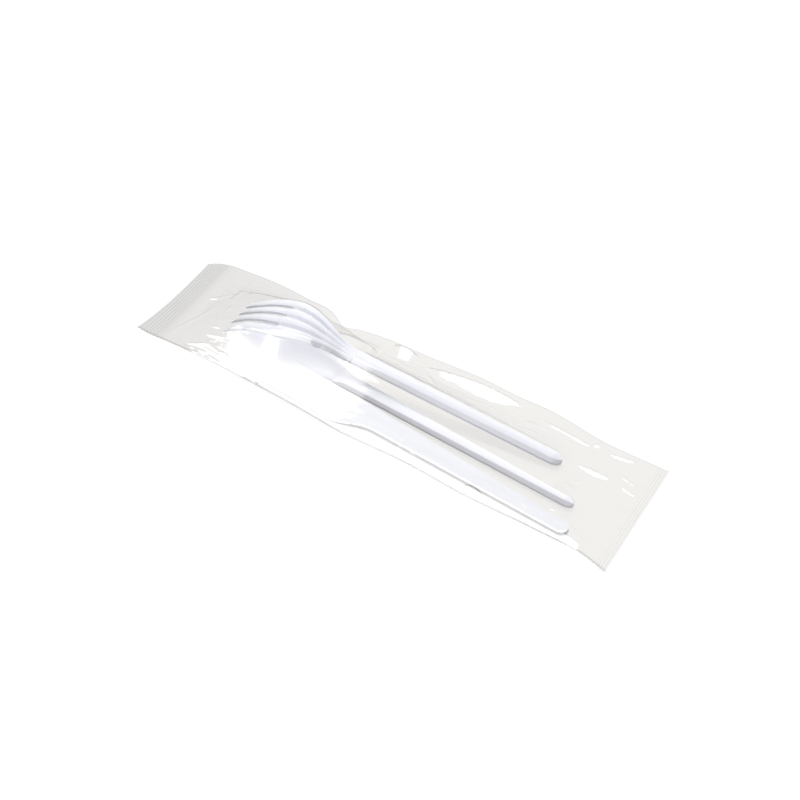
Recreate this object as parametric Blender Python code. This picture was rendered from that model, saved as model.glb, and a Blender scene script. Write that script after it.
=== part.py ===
"""Disposable cutlery set: a fork, a spoon and a knife of moulded plastic, sealed in one clear film wrapper.

Each piece of cutlery is drawn along its length, from the tip of its head (0) to the end of its handle,
as an upper and a lower surface over one outline. The pieces are then laid on one another, and the film
is drawn tight over them. Fork and spoon lie face down, so their round backs look up.
"""

import math

import bmesh
import bpy
import numpy as np
from mathutils import Matrix, Vector
from mathutils.bvhtree import BVHTree

# Film wrapper
FILM_THICKNESS = 0.0002
FILM_GAP = 0.0003             # between the film and what it holds, and between any two pieces
FILM_WIDTH = 0.061            # across the flat ends
FILM_SLOPE = 0.42             # the steepest the film falls along its length
FILM_EDGE = 0.0010            # height of a folded long edge
HEAD_SLACK = 0.029            # film beyond the knife's tip
HANDLE_SLACK = 0.0165         # film beyond the knife's handle
HEAD_SEAL = 0.0100
HANDLE_SEAL = 0.0056
SEAL_THICKNESS = 0.0005
CRIMP_PITCH = 0.0014
CRIMP_HEIGHT = 0.00012
LAP_WIDTH = 0.010             # the long seam under the pack
CURL_HEIGHT = 0.0075          # the near corner at the heads curls up from the table
CURL_LENGTH = 0.026

# How far the film's contents draw in its near and far long edges: share of the pack's length, near, far
EDGE_INSETS = (
    (0.00, 0.0012, 0.0058),
    (0.04, 0.0042, 0.0013),
    (0.14, 0.0064, 0.0000),
    (0.29, 0.0056, 0.0029),
    (0.32, 0.0053, 0.0046),
    (0.38, 0.0042, 0.0013),
    (0.60, 0.0038, -0.0005),
    (0.75, 0.0022, -0.0004),
    (0.87, 0.0027, 0.0019),
    (1.00, -0.0011, 0.0014),
)

# Fork
FORK_LENGTH = 0.167
FORK_HEAD_WIDTH = 0.0245
FORK_TIPS_WIDTH = 0.0200
FORK_NECK_WIDTH = 0.0077
FORK_END_WIDTH = 0.0063
FORK_NECK_AT = 0.063
FORK_CROWN_AT = 0.037
FORK_CROWN_RISE = 0.0157
FORK_NECK_RISE = 0.0086
FORK_DOME = 0.0012            # how far the head's outer tines drop below the middle ones
FORK_WALL = 0.0013
FORK_HANDLE_DEPTH = 0.0036
TINE_LENGTH = 0.0275
TINE_TIP_WIDTH = 0.0013
TINE_TAPER = 0.011
SLOT_WIDTH = 0.0025
FLUTE_HEIGHT = 0.0017         # the rib that carries each tine back to the neck

# Spoon
SPOON_LENGTH = 0.172
BOWL_LENGTH = 0.050
BOWL_WIDTH = 0.0325
BOWL_WIDEST_AT = 0.0225
BOWL_DEPTH = 0.0058
SPOON_NECK_AT = 0.056
SPOON_NECK_WIDTH = 0.0080
SPOON_END_WIDTH = 0.0046
SPOON_WALL = 0.0012
SPOON_HANDLE_DEPTH = 0.0034

# Knife
KNIFE_LENGTH = 0.180
BLADE_LENGTH = 0.073
BLADE_WIDTH = 0.0158
BLADE_SPINE_THICKNESS = 0.0014
BLADE_EDGE_THICKNESS = 0.0006
KNIFE_STEP_LENGTH = 0.020     # where the blade narrows to the handle
KNIFE_NECK_WIDTH = 0.0102
KNIFE_END_WIDTH = 0.0056
KNIFE_HANDLE_DEPTH = 0.0028
KNIFE_WALL = 0.0013
TOOTH_PITCH = 0.0020
TOOTH_DEPTH = 0.0004

# Rims of the three handles
RIM_WIDTH = 0.0011
END_ROUND = 0.0042

# How the pieces lie: the place of each handle's end from the knife's, and the turns
KNIFE_END_Y = -0.0228
KNIFE_YAW = math.radians(-3.6)
KNIFE_ROLL = math.radians(12.0)
FORK_END_BACK = 0.0195
FORK_END_Y = 0.0081
FORK_YAW = math.radians(2.1)
FORK_ROLL = math.radians(-4.0)
SPOON_END_BACK = 0.0045
SPOON_END_Y = -0.0093
SPOON_YAW = math.radians(-3.5)

FILM_FLOOR = 2 * FILM_THICKNESS + 2 * FILM_GAP
PLASTIC = (0.90, 0.91, 0.93, 1.0)
FILM = (0.93, 0.93, 0.91, 0.30)


def clear_scene():
    for item in list(bpy.data.objects):
        bpy.data.objects.remove(item, do_unlink=True)


def new_material(name, colour, roughness):
    material = bpy.data.materials.new(name)
    material.use_nodes = True
    material.diffuse_color = colour
    shader = material.node_tree.nodes["Principled BSDF"]
    shader.inputs["Base Color"].default_value = colour
    shader.inputs["Roughness"].default_value = roughness
    shader.inputs["Metallic"].default_value = 0.0
    shader.inputs["Alpha"].default_value = colour[3]
    return material


def ramp(value, start, end):
    """0 before start, 1 after end, and a smooth step between them."""
    part = min(max((value - start) / (end - start), 0.0), 1.0)
    return part * part * (3 - 2 * part)


def bend(value, x0, y0, slope0, x1, y1, slope1):
    """A cubic from (x0, y0) to (x1, y1) that leaves and arrives with the given slopes."""
    span = x1 - x0
    t = min(max((value - x0) / span, 0.0), 1.0)
    return ((2 * t**3 - 3 * t**2 + 1) * y0 + (t**3 - 2 * t**2 + t) * span * slope0
            + (3 * t**2 - 2 * t**3) * y1 + (t**3 - t**2) * span * slope1)


def bulge(value, power=0.5):
    """1 at 0, falling along a round curve to 0 at 1 and at -1."""
    return max(1 - value * value, 0.0) ** power


def spread(start, end, count):
    """Stations from start up to but not at end."""
    return [start + (end - start) * i / count for i in range(count)]


def end_stations(length):
    """Stations that close in on a handle's round end."""
    return [length - END_ROUND * (1 - math.sin(math.pi / 2 * i / 7)) for i in range(8)]


def end_factor(s, length):
    """The share of its width that a handle keeps in its round end."""
    into = max((s - (length - END_ROUND)) / END_ROUND, 0.0)
    return max(bulge(min(into, 1.0)), 0.28)


def make_object(name, bm, material, smooth_angle=math.radians(40)):
    bmesh.ops.recalc_face_normals(bm, faces=bm.faces)
    mesh = bpy.data.meshes.new(name)
    bm.to_mesh(mesh)
    bm.free()
    mesh.materials.append(material)
    mesh.shade_smooth()
    mesh.set_sharp_from_angle(angle=smooth_angle)
    item = bpy.data.objects.new(name, mesh)
    bpy.context.scene.collection.objects.link(item)
    return item


def shell(stations, strips, top, bottom):
    """A closed solid between two surfaces over an outline.

    strips(s) gives, for a station, one list of side positions for each strip. Strips that share an edge
    are joined there. top(s, w) and bottom(s, w) give the side position and height of a point.
    """
    bm = bmesh.new()
    corners = {}

    def corner(s, w):
        key = (round(s * 1e6), round(w * 1e6))
        if key not in corners:
            pair = []
            for surface in (top, bottom):
                side, height = surface(s, w)
                pair.append(bm.verts.new((s, side, height)))
            corners[key] = pair
        return corners[key]

    used = {}
    for s0, s1 in zip(stations, stations[1:]):
        for row0, row1 in zip(strips(s0), strips(s1)):
            for j in range(len(row0) - 1):
                ring = [corner(s0, row0[j]), corner(s1, row1[j]), corner(s1, row1[j + 1]), corner(s0, row0[j + 1])]
                ring = [c for i, c in enumerate(ring) if c is not ring[i - 1]]
                if len(ring) < 3:
                    continue
                bm.faces.new([c[0] for c in ring])
                bm.faces.new([c[1] for c in reversed(ring)])
                for i, c in enumerate(ring):
                    pair = (id(ring[i - 1]), id(c))
                    used[pair] = (ring[i - 1], c)
    for (first, second), (a, b) in used.items():
        if (second, first) not in used:
            bm.faces.new((a[1], b[1], b[0], a[0]))
    return bm


def symmetric(inner):
    """A list of positions from the outside in, mirrored about the middle."""
    return [-w for w in inner] + [w for w in reversed(inner[:-1])]


def handle_lines(half, count):
    """Side positions across a handle: the rim's two edges, then the trough between them."""
    inner = max(half - RIM_WIDTH, 0.3 * half)
    steps = [inner * math.cos(math.pi / 2 * i / (count - 2)) for i in range(count - 1)]
    steps[-1] = 0.0
    return symmetric([half] + steps)


def hollow(s, w, half, depth, start, end):
    """How high the hollow under a handle is above its rim."""
    inner = max(half - RIM_WIDTH, 0.3 * half)
    if abs(w) >= inner:
        return 0.0
    along = ramp(s, start, start + 2 * RIM_WIDTH) * (1 - ramp(s, end - 3 * RIM_WIDTH, end - RIM_WIDTH))
    return depth * along * bulge(w / inner, 0.5)


# Fork

def fork_half(s):
    """Half the fork's width."""
    head = FORK_HEAD_WIDTH / 2
    neck = FORK_NECK_WIDTH / 2
    if s < TINE_LENGTH:
        return bend(s, 0.0, FORK_TIPS_WIDTH / 2, 0.0, TINE_LENGTH, head, 0.0)
    if s < FORK_NECK_AT:
        return bend(s, TINE_LENGTH, head, 0.0, FORK_NECK_AT, neck, -0.02)
    along = (s - FORK_NECK_AT) / (FORK_LENGTH - FORK_NECK_AT)
    return (neck + (FORK_END_WIDTH / 2 - neck) * along) * end_factor(s, FORK_LENGTH)


def fork_under(s):
    """Height of the fork's face side, which looks down: an arch over the head, then a falling handle."""
    fall = -FORK_NECK_RISE / (FORK_LENGTH - FORK_NECK_AT)
    if s < FORK_CROWN_AT:
        return FORK_CROWN_RISE * (1 - (1 - s / FORK_CROWN_AT) ** 2)
    if s < FORK_NECK_AT:
        return bend(s, FORK_CROWN_AT, FORK_CROWN_RISE, 0.0, FORK_NECK_AT, FORK_NECK_RISE, fall)
    return FORK_NECK_RISE + fall * (s - FORK_NECK_AT)


def slot_half(s):
    """Half the width of the slot between two tines, with a round root."""
    radius = SLOT_WIDTH / 2
    return radius * bulge(max(s - (TINE_LENGTH - radius), 0.0) / radius)


def fork_strips(s):
    """Side positions of the four tines, and behind the slots of the four ribs and the handle."""
    half = fork_half(s)
    pitch = half / 2
    if s >= TINE_LENGTH:
        blend = ramp(s, FORK_NECK_AT - 0.004, FORK_NECK_AT + 0.001)
        ribs = [half * (i / 8 - 1) for i in range(17)]
        lines = [a + (b - a) * blend for a, b in zip(ribs, handle_lines(half, 9))]
        return [lines[4 * k:4 * k + 5] for k in range(4)]
    strips = []
    for k in range(4):
        left = (k - 2) * pitch + (slot_half(s) if k > 0 else 0.0)
        right = (k - 1) * pitch - (slot_half(s) if k < 3 else 0.0)
        if s < TINE_TAPER:
            middle = (k - 1.5) * (FORK_TIPS_WIDTH - TINE_TIP_WIDTH) / 3
            grow = (s / TINE_TAPER) ** 0.6
            tip = TINE_TIP_WIDTH / 2 * (0.35 + 0.65 * ramp(s, 0.0, 0.001))
            left = (middle - tip) + (left - (middle - tip)) * grow
            right = (middle + tip) + (right - (middle + tip)) * grow
        strips.append([left + (right - left) * i / 4 for i in range(5)])
    return strips


def fork_rib(s, w):
    """Height of the round back of a tine, or of the rib behind it, above the valleys beside it."""
    for row in fork_strips(s):
        if row[0] - 1e-7 <= w <= row[-1] + 1e-7:
            across = (w - (row[0] + row[-1]) / 2) / max((row[-1] - row[0]) / 2, 1e-6)
            behind = ramp(s, TINE_LENGTH - 0.006, TINE_LENGTH + 0.004) * (1 - ramp(s, FORK_NECK_AT - 0.012, FORK_NECK_AT))
            tine = 0.35 * ramp(s, 0.0, 0.004) * (1 - ramp(s, TINE_LENGTH, FORK_NECK_AT - 0.002))
            return FLUTE_HEIGHT * max(behind, tine) * bulge(across, 0.8)
    return 0.0


def fork_drop(s, w):
    """The head's dome: its outer tines lie lower than its middle ones."""
    return FORK_DOME * (1 - ramp(s, FORK_CROWN_AT, FORK_NECK_AT)) * (w / (FORK_HEAD_WIDTH / 2)) ** 2


def fork_top(s, w):
    base = fork_under(s) - fork_drop(s, w)
    rise = FORK_HANDLE_DEPTH - FORK_WALL
    neck = 0.35 * ramp(s, FORK_NECK_AT - 0.016, FORK_NECK_AT) + 0.65 * ramp(s, FORK_NECK_AT, FORK_NECK_AT + 0.0022)
    back = rise * neck * bulge(w / fork_half(s), 0.5) * fork_tail(s)
    tip = 0.55 + 0.45 * ramp(s, 0.0, 0.003)
    return w, base + FORK_WALL * tip + back + fork_rib(s, w)


def fork_tail(s):
    """The handle's back falls off in its round end."""
    return 1 - 0.45 * ramp(s, FORK_LENGTH - END_ROUND, FORK_LENGTH)


def fork_bottom(s, w):
    rise = (FORK_HANDLE_DEPTH - FORK_WALL) * fork_tail(s)
    inside = hollow(s, w, fork_half(s), rise, FORK_NECK_AT + 0.0025, FORK_LENGTH)
    return w, fork_under(s) - fork_drop(s, w) + inside


def fork_stations():
    radius = SLOT_WIDTH / 2
    tips = [0.0, 0.0005, 0.0012, 0.0025, 0.0045, 0.0075] + spread(TINE_TAPER, TINE_LENGTH - radius, 5)
    roots = [TINE_LENGTH - radius * (1 - math.sin(math.pi / 2 * i / 4)) for i in range(4)]
    ribs = spread(TINE_LENGTH, FORK_NECK_AT, 15)
    start = FORK_NECK_AT + 0.0025
    neck = [FORK_NECK_AT, start - 0.0017, start - 0.0009, start, start + RIM_WIDTH]
    handle = spread(start + 2 * RIM_WIDTH, FORK_LENGTH - END_ROUND - 0.001, 7)
    return tips + roots + ribs + neck + handle + end_stations(FORK_LENGTH)


# Spoon

def spoon_half(s):
    """Half the spoon's width: an egg-shaped bowl, a neck and a slim handle."""
    neck = SPOON_NECK_WIDTH / 2
    if s < BOWL_WIDEST_AT:
        return max(BOWL_WIDTH / 2 * bulge((BOWL_WIDEST_AT - s) / BOWL_WIDEST_AT, 0.46), 0.0022)
    if s < SPOON_NECK_AT:
        across = 0.5 + 0.5 * math.cos(math.pi * (s - BOWL_WIDEST_AT) / (SPOON_NECK_AT - BOWL_WIDEST_AT))
        return neck + (BOWL_WIDTH / 2 - neck) * across ** 0.85
    along = (s - SPOON_NECK_AT) / (SPOON_LENGTH - SPOON_NECK_AT)
    return (neck + (SPOON_END_WIDTH / 2 - neck) * along) * end_factor(s, SPOON_LENGTH)


def bowl_height(s, w):
    """Height of the bowl's back above its rim."""
    inner = max(spoon_half(s) - RIM_WIDTH * 0.6, 0.3 * spoon_half(s))
    middle = BOWL_LENGTH * 0.47
    along = bulge((s - middle) / (middle if s < middle else BOWL_LENGTH - middle), 0.75)
    return BOWL_DEPTH * along * bulge(min(abs(w) / inner, 1.0), 0.72)


def spoon_rise(s):
    """How far the handle's round back stands above its edges."""
    grown = ramp(s, BOWL_LENGTH - 0.020, SPOON_NECK_AT)
    return (SPOON_HANDLE_DEPTH - SPOON_WALL) * grown * (1 - 0.45 * ramp(s, SPOON_LENGTH - END_ROUND, SPOON_LENGTH))


def spoon_top(s, w):
    return w, SPOON_WALL + bowl_height(s, w) + spoon_rise(s) * bulge(w / spoon_half(s), 0.5)


def spoon_bottom(s, w):
    return w, bowl_height(s, w) + hollow(s, w, spoon_half(s), spoon_rise(s), SPOON_NECK_AT - 0.002, SPOON_LENGTH)


def spoon_strips(s):
    half = spoon_half(s)
    bowl = symmetric([half * f for f in (1.0, 0.955, 0.88, 0.74, 0.56, 0.38, 0.19, 0.0)])
    blend = ramp(s, BOWL_LENGTH - 0.006, SPOON_NECK_AT - 0.003)
    return [[a + (b - a) * blend for a, b in zip(bowl, handle_lines(half, 8))]]


def spoon_stations():
    tip = [BOWL_WIDEST_AT * (1 - math.cos(math.pi / 2 * (i + 0.35) / 9)) for i in range(9)]
    bowl = spread(BOWL_WIDEST_AT, SPOON_NECK_AT - 0.004, 15)
    start = SPOON_NECK_AT - 0.002
    neck = [start - 0.001, start, start + RIM_WIDTH / 2, start + RIM_WIDTH]
    handle = spread(start + 2 * RIM_WIDTH, SPOON_LENGTH - END_ROUND - 0.001, 7)
    return tip + bowl + neck + handle + end_stations(SPOON_LENGTH)


# Knife

def handle_half(s):
    """Half the knife's handle, which narrows to its round end."""
    along = max((s - BLADE_LENGTH) / (KNIFE_LENGTH - BLADE_LENGTH), 0.0)
    return (KNIFE_NECK_WIDTH + (KNIFE_END_WIDTH - KNIFE_NECK_WIDTH) * along) / 2 * end_factor(s, KNIFE_LENGTH)


def knife_far(s):
    """The straight spine, rounded at the tip."""
    return handle_half(s) - 0.0040 * (1 - min(s / 0.006, 1.0)) ** 2


def knife_near(s):
    """The cutting edge, a broad round tip, and the step in to the handle."""
    blade = KNIFE_NECK_WIDTH / 2 - BLADE_WIDTH
    handle = -handle_half(s)
    tip = (BLADE_WIDTH - 0.0075) * (1 - min(s / 0.010, 1.0)) ** 2.3
    step = ramp(s, BLADE_LENGTH - KNIFE_STEP_LENGTH / 2, BLADE_LENGTH + KNIFE_STEP_LENGTH / 2)
    return (blade + tip) * (1 - step) + handle * step


def tooth(s):
    """The fine serration of the cutting edge."""
    if not 0.010 < s < BLADE_LENGTH - KNIFE_STEP_LENGTH / 2:
        return 0.0
    return TOOTH_DEPTH * (0.5 - 0.5 * math.cos(2 * math.pi * s / TOOTH_PITCH))


def knife_strips(s):
    near = knife_near(s) + tooth(s)
    far = knife_far(s)
    rim = min(RIM_WIDTH, 0.22 * (far - near))
    steps = [near, near + rim, near + rim * 1.05]
    inner = [near + rim * 1.05 + (far - near - 2.1 * rim) * f for f in (0.34, 0.67)]
    return [steps + inner + [far - rim * 1.05, far - rim, far]]


def knife_top(s, w):
    near = knife_near(s)
    bevel = ramp(w, near, near + 0.45 * BLADE_WIDTH)
    blade = 1 - ramp(s, BLADE_LENGTH - KNIFE_STEP_LENGTH, BLADE_LENGTH + KNIFE_STEP_LENGTH / 2)
    return w, KNIFE_HANDLE_DEPTH - 0.0003 * (1 - bevel) * blade


def knife_bottom(s, w):
    """The blade is a plate. The handle is a plate with a rim round its underside."""
    near = knife_near(s)
    bevel = ramp(w, near, near + 0.45 * BLADE_WIDTH)
    top = knife_top(s, w)[1]
    plate = BLADE_EDGE_THICKNESS + (BLADE_SPINE_THICKNESS - BLADE_EDGE_THICKNESS) * bevel
    start = BLADE_LENGTH - KNIFE_STEP_LENGTH / 2
    rim = min(RIM_WIDTH, 0.22 * (knife_far(s) - near))
    on_rim = w <= near + rim * 1.01 or w >= knife_far(s) - rim * 1.01 or s > KNIFE_LENGTH - RIM_WIDTH
    handle = KNIFE_HANDLE_DEPTH if on_rim else KNIFE_WALL
    grown = ramp(s, start, start + KNIFE_STEP_LENGTH)
    return w * (1 + 0.06 * grown), top - (plate * (1 - grown) + handle * grown)


def knife_stations():
    tip = [0.0, 0.0003, 0.0009, 0.0018, 0.0030, 0.0046, 0.0065, 0.0085]
    teeth = spread(0.010, BLADE_LENGTH - KNIFE_STEP_LENGTH / 2,
                   round((BLADE_LENGTH - KNIFE_STEP_LENGTH / 2 - 0.010) / (TOOTH_PITCH / 2)))
    step = spread(BLADE_LENGTH - KNIFE_STEP_LENGTH / 2, BLADE_LENGTH + KNIFE_STEP_LENGTH, 9)
    handle = spread(BLADE_LENGTH + KNIFE_STEP_LENGTH, KNIFE_LENGTH - END_ROUND - 0.001, 5)
    return tip + teeth + step + handle + end_stations(KNIFE_LENGTH)


# Laying the pieces on one another

def lay(item, length, end, yaw, roll, pitch):
    """Put a piece's handle end at a place, with its head up by a pitch, and bake that into the mesh."""
    turn = Matrix.Rotation(yaw, 4, "Z") @ Matrix.Rotation(pitch, 4, "Y") @ Matrix.Rotation(roll, 4, "X")
    item.data.transform(Matrix.Translation(end) @ turn @ Matrix.Translation((-length, 0.0, 0.0)))


def lowest(item, beyond):
    """The lowest point of a piece on its handle's side of a place along X."""
    return min(v.co.z for v in item.data.vertices if v.co.x > beyond)


def drop_angle(item, below, pivot):
    """How far a lifted piece can turn down about its handle's end before it meets what lies below."""
    tree = BVHTree.FromPolygons([v.co for v in item.data.vertices], [p.vertices for p in item.data.polygons])
    turns = [(v.co.z - FILM_FLOOR) / (pivot.x - v.co.x) for v in item.data.vertices if v.co.x < pivot.x - 0.03]
    for other in below:
        under = BVHTree.FromPolygons([v.co for v in other.data.vertices], [p.vertices for p in other.data.polygons])
        for tree_hit, points, way in ((tree, other.data.vertices, 1.0), (under, item.data.vertices, -1.0)):
            for v in points:
                hit = tree_hit.ray_cast(v.co + Vector((0, 0, 0.0001 * way)), Vector((0, 0, way)), 0.08)
                if hit[0] is not None and v.co.x < pivot.x - 0.03:
                    turns.append((abs(hit[0].z - v.co.z) - FILM_GAP * 1.6) / (pivot.x - v.co.x))
    return math.atan(min(turns))


def rest(item, length, end_x, end_y, yaw, roll, below):
    """Lay a piece with its handle's end on the film and its head on whatever is under it."""
    lifted = math.radians(20)
    end = Vector((end_x, end_y, 0.0))
    lay(item, length, end, yaw, roll, lifted)
    end.z = FILM_FLOOR - lowest(item, end_x - 0.02)
    item.data.transform(Matrix.Translation((0.0, 0.0, end.z)))
    for _ in range(4):
        angle = drop_angle(item, below, end)
        axis = Matrix.Rotation(yaw, 3, "Z") @ Vector((0, 1, 0))
        turn = Matrix.Rotation(-angle, 4, axis)
        item.data.transform(Matrix.Translation(end) @ turn @ Matrix.Translation(-end))
        raise_by = FILM_FLOOR - lowest(item, end_x - 0.06)
        item.data.transform(Matrix.Translation((0.0, 0.0, raise_by)))
        end.z += raise_by


def make_cutlery(handle_end):
    """The spoon on the film, the knife on the spoon's bowl, and the fork on both."""
    spoon = make_object("spoon", shell(spoon_stations(), spoon_strips, spoon_top, spoon_bottom),
                        new_material("spoon_plastic", PLASTIC, 0.28))
    knife = make_object("knife", shell(knife_stations(), knife_strips, knife_top, knife_bottom),
                        new_material("knife_plastic", PLASTIC, 0.28), math.radians(30))
    fork = make_object("fork", shell(fork_stations(), fork_strips, fork_top, fork_bottom),
                       new_material("fork_plastic", PLASTIC, 0.28))
    rest(spoon, SPOON_LENGTH, handle_end - SPOON_END_BACK, SPOON_END_Y, SPOON_YAW, 0.0, [])
    rest(knife, KNIFE_LENGTH, handle_end, KNIFE_END_Y, KNIFE_YAW, KNIFE_ROLL, [spoon])
    rest(fork, FORK_LENGTH, handle_end - FORK_END_BACK, FORK_END_Y, FORK_YAW, FORK_ROLL, [spoon, knife])
    return [fork, spoon, knife]


# Film wrapper

def long_edges(share):
    """Side positions of the near and the far long edge, at a share of the pack's length."""
    rows = np.array(EDGE_INSETS)
    slopes = np.gradient(rows, rows[:, 0], axis=0)
    i = min(np.searchsorted(rows[:, 0], share, side="right") - 1, len(rows) - 2)
    near, far = (bend(share, rows[i, 0], rows[i, k], slopes[i, k], rows[i + 1, 0], rows[i + 1, k], slopes[i + 1, k])
                 for k in (1, 2))
    return near - FILM_WIDTH / 2, FILM_WIDTH / 2 - far


def upper_hull(points):
    """The upper side of the convex outline round some (side, height) points."""
    hull = []
    for p in sorted(points):
        while len(hull) > 1:
            (ax, ay), (bx, by) = hull[-2], hull[-1]
            if (bx - ax) * (p[1] - ay) - (by - ay) * (p[0] - ax) < 0:
                break
            hull.pop()
        hull.append(p)
    return hull


def surface_points(item):
    """The corners of a piece, and points along its longer edges."""
    points = np.array([v.co[:] for v in item.data.vertices])
    ends = np.array([e.vertices[:] for e in item.data.edges])
    long = ends[np.linalg.norm(points[ends[:, 0]] - points[ends[:, 1]], axis=1) > 0.002]
    between = [points[long[:, 0]] * (1 - f) + points[long[:, 1]] * f for f in np.linspace(0.1, 0.9, 9)]
    return np.vstack([points] + between)


def film_section(x, near, far, cloud, reach):
    """Heights of the film drawn tight across one station, over all that lies within reach along the pack."""
    count = 22
    side = (far - near) / count
    rows = near + side * np.arange(count + 1)
    away = np.maximum(np.abs(cloud[:, 0] - x) - reach, 0.0)
    heights = cloud[:, 2] + FILM_GAP * 1.5 + FILM_THICKNESS - FILM_SLOPE * away
    keep = heights > FILM_EDGE
    points = [(near, FILM_EDGE), (far, FILM_EDGE)]
    for shift in (-side, side):
        sides = np.clip(cloud[keep, 1] + shift, near, far)
        points += list(zip(sides.tolist(), heights[keep].tolist()))
    best = {}
    for y, z in points:
        best[y] = max(best.get(y, 0.0), z)
    hull = upper_hull(best.items())
    return rows, np.interp(rows, [p[0] for p in hull], [p[1] for p in hull])


def section_path(rows, heights, collapse):
    """The film's middle line round one station, from the outer lip of the seam to the inner lip."""
    level = FILM_THICKNESS / 2
    lip = FILM_THICKNESS + FILM_GAP
    lap = LAP_WIDTH / 2
    top = [(y, FILM_EDGE + (z - FILM_EDGE) * collapse) for y, z in zip(rows, heights)]
    near, far = rows[0], rows[-1]
    bottom = [(-lap, level), (lap, level), (far * 0.6, level), (far - 0.0005, level), (far, level + 0.0003)]
    over = [(far, top[-1][1] * 0.7)] + [(y, z) for y, z in reversed(top[1:-1])] + [(near, top[0][1])]
    under = [(near, level + 0.0004), (near + 0.0006, level), (near * 0.6, level), (-lap - 0.0025, level)]
    return bottom + over + under + [(-lap - 0.0004, level + lip), (0.0, level + lip), (lap, level + lip)]


def offset_path(path):
    """The two faces of the film on either side of its middle line."""
    points = np.array(path)
    steps = np.diff(points, axis=0)
    steps /= np.linalg.norm(steps, axis=1)[:, None]
    normals = np.stack([steps[:, 1], -steps[:, 0]], axis=1)
    mean = np.vstack([normals[:1], normals[:-1] + normals[1:], normals[-1:]])
    mean /= np.linalg.norm(mean, axis=1)[:, None]
    first = np.vstack([normals, normals[-1:]])
    reach = FILM_THICKNESS / 2 / np.maximum((mean * first).sum(axis=1), 0.55)
    return points + mean * reach[:, None], points - mean * reach[:, None]


def film_tube(stations, sections):
    """The film round its contents: an open ring in section, whose two lips overlap under the pack."""
    bm = bmesh.new()
    rings = []
    for x, path in zip(stations, sections):
        outer, inner = offset_path(path)
        ring = list(outer) + list(inner[::-1])
        rings.append([bm.verts.new((x, p[0], p[1])) for p in ring])
    half = len(rings[0]) // 2
    for a, b in zip(rings, rings[1:]):
        for i in range(len(a)):
            j = (i + 1) % len(a)
            if i < half:          # both faces of the film are cut along the same diagonals
                bm.faces.new((a[i], a[j], b[j]))
                bm.faces.new((a[i], b[j], b[i]))
            else:
                bm.faces.new((a[i], a[j], b[i]))
                bm.faces.new((a[j], b[j], b[i]))
    for ring in (rings[0], rings[-1]):
        for i in range(half - 1):
            bm.faces.new((ring[i], ring[i + 1], ring[-i - 2], ring[-i - 1]))
    return bm


def seal_bar(inner_x, outer_x, near, far):
    """A flat end seal with crimp lines across it."""
    length = abs(outer_x - inner_x)
    sign = 1.0 if outer_x > inner_x else -1.0
    count = max(round(length / CRIMP_PITCH), 2) * 4

    def crimp(s):
        return CRIMP_HEIGHT * math.cos(2 * math.pi * s / CRIMP_PITCH) * ramp(s, 0.0008, 0.0016)

    def strips(s):
        return [[near + (far - near) * i / 6 for i in range(7)]]

    def upper(s, w):
        start = FILM_EDGE + 2 * FILM_THICKNESS
        return w, start + (SEAL_THICKNESS + CRIMP_HEIGHT - start) * ramp(s, 0.0, 0.0022) + crimp(s)

    def lower(s, w):
        return w, CRIMP_HEIGHT * ramp(s, 0.0, 0.0022) + FILM_THICKNESS * 0.4 + crimp(s)

    bm = shell([length * i / count for i in range(count + 1)], strips, upper, lower)
    for v in bm.verts:
        v.co.x = inner_x + sign * v.co.x
    return bm


def curl(x, y, start):
    """How far the seal at the heads has curled up, from nothing at its far corner."""
    along = max((start - x) / CURL_LENGTH, 0.0)
    return CURL_HEIGHT * along ** 2 * max(0.5 - y / FILM_WIDTH, 0.0) ** 1.5


def join(target, other):
    """Fuse one closed solid to another."""
    modifier = target.modifiers.new("join", "BOOLEAN")
    modifier.operation = "UNION"
    modifier.solver = "EXACT"
    modifier.object = other
    graph = bpy.context.evaluated_depsgraph_get()
    mesh = bpy.data.meshes.new_from_object(target.evaluated_get(graph))
    target.modifiers.remove(modifier)
    target.data = mesh
    bpy.data.objects.remove(other, do_unlink=True)


def make_film(cutlery, head_end, handle_end):
    """The wrapper, drawn tight over the cutlery and sealed at both ends."""
    material = new_material("clear_film", FILM, 0.12)
    cloud = np.vstack([surface_points(item) for item in cutlery])
    head_seal = head_end + HEAD_SEAL
    handle_seal = handle_end - HANDLE_SEAL
    stations = list(np.linspace(head_seal, handle_seal, 45))
    reach = 1.5 * (stations[1] - stations[0])
    edges = []
    heights = []
    for x in stations:
        near, far = long_edges((x - head_end) / (handle_end - head_end))
        beside = cloud[np.abs(cloud[:, 0] - x) < reach]
        if len(beside):
            near = min(near, beside[:, 1].min() - 2 * FILM_GAP - FILM_THICKNESS)
            far = max(far, beside[:, 1].max() + 2 * FILM_GAP + FILM_THICKNESS)
        rows, taut = film_section(x, near, far, cloud, reach)
        edges.append(rows)
        heights.append(taut)
    edges = np.array(edges)
    heights = np.array(heights)
    heights[1:-1] = (heights[:-2] + 2 * heights[1:-1] + heights[2:]) / 4
    sections = []
    for x, rows, taut in zip(stations, edges, heights):
        collapse = ramp(x, head_seal, head_seal + 0.012) * (1 - ramp(x, handle_seal - 0.012, handle_seal))
        sections.append(section_path(rows, taut, collapse))
    ends = [(rows[0], rows[-1]) for rows in (edges[0], edges[-1])]
    film = make_object("film_wrapper", film_tube(stations, sections), material)
    lip = 0.0004
    for inner_x, outer_x, (near, far) in ((head_seal + lip, head_end, ends[0]),
                                          (handle_seal - lip, handle_end, ends[1])):
        bar = seal_bar(inner_x, outer_x, near - 0.0002, far + 0.0002)
        join(film, make_object("seal", bar, material))
    for v in film.data.vertices:
        v.co.z += curl(v.co.x, v.co.y, head_end + CURL_LENGTH)
    film.data.shade_smooth()
    film.data.set_sharp_from_angle(angle=math.radians(35))
    return film


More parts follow.
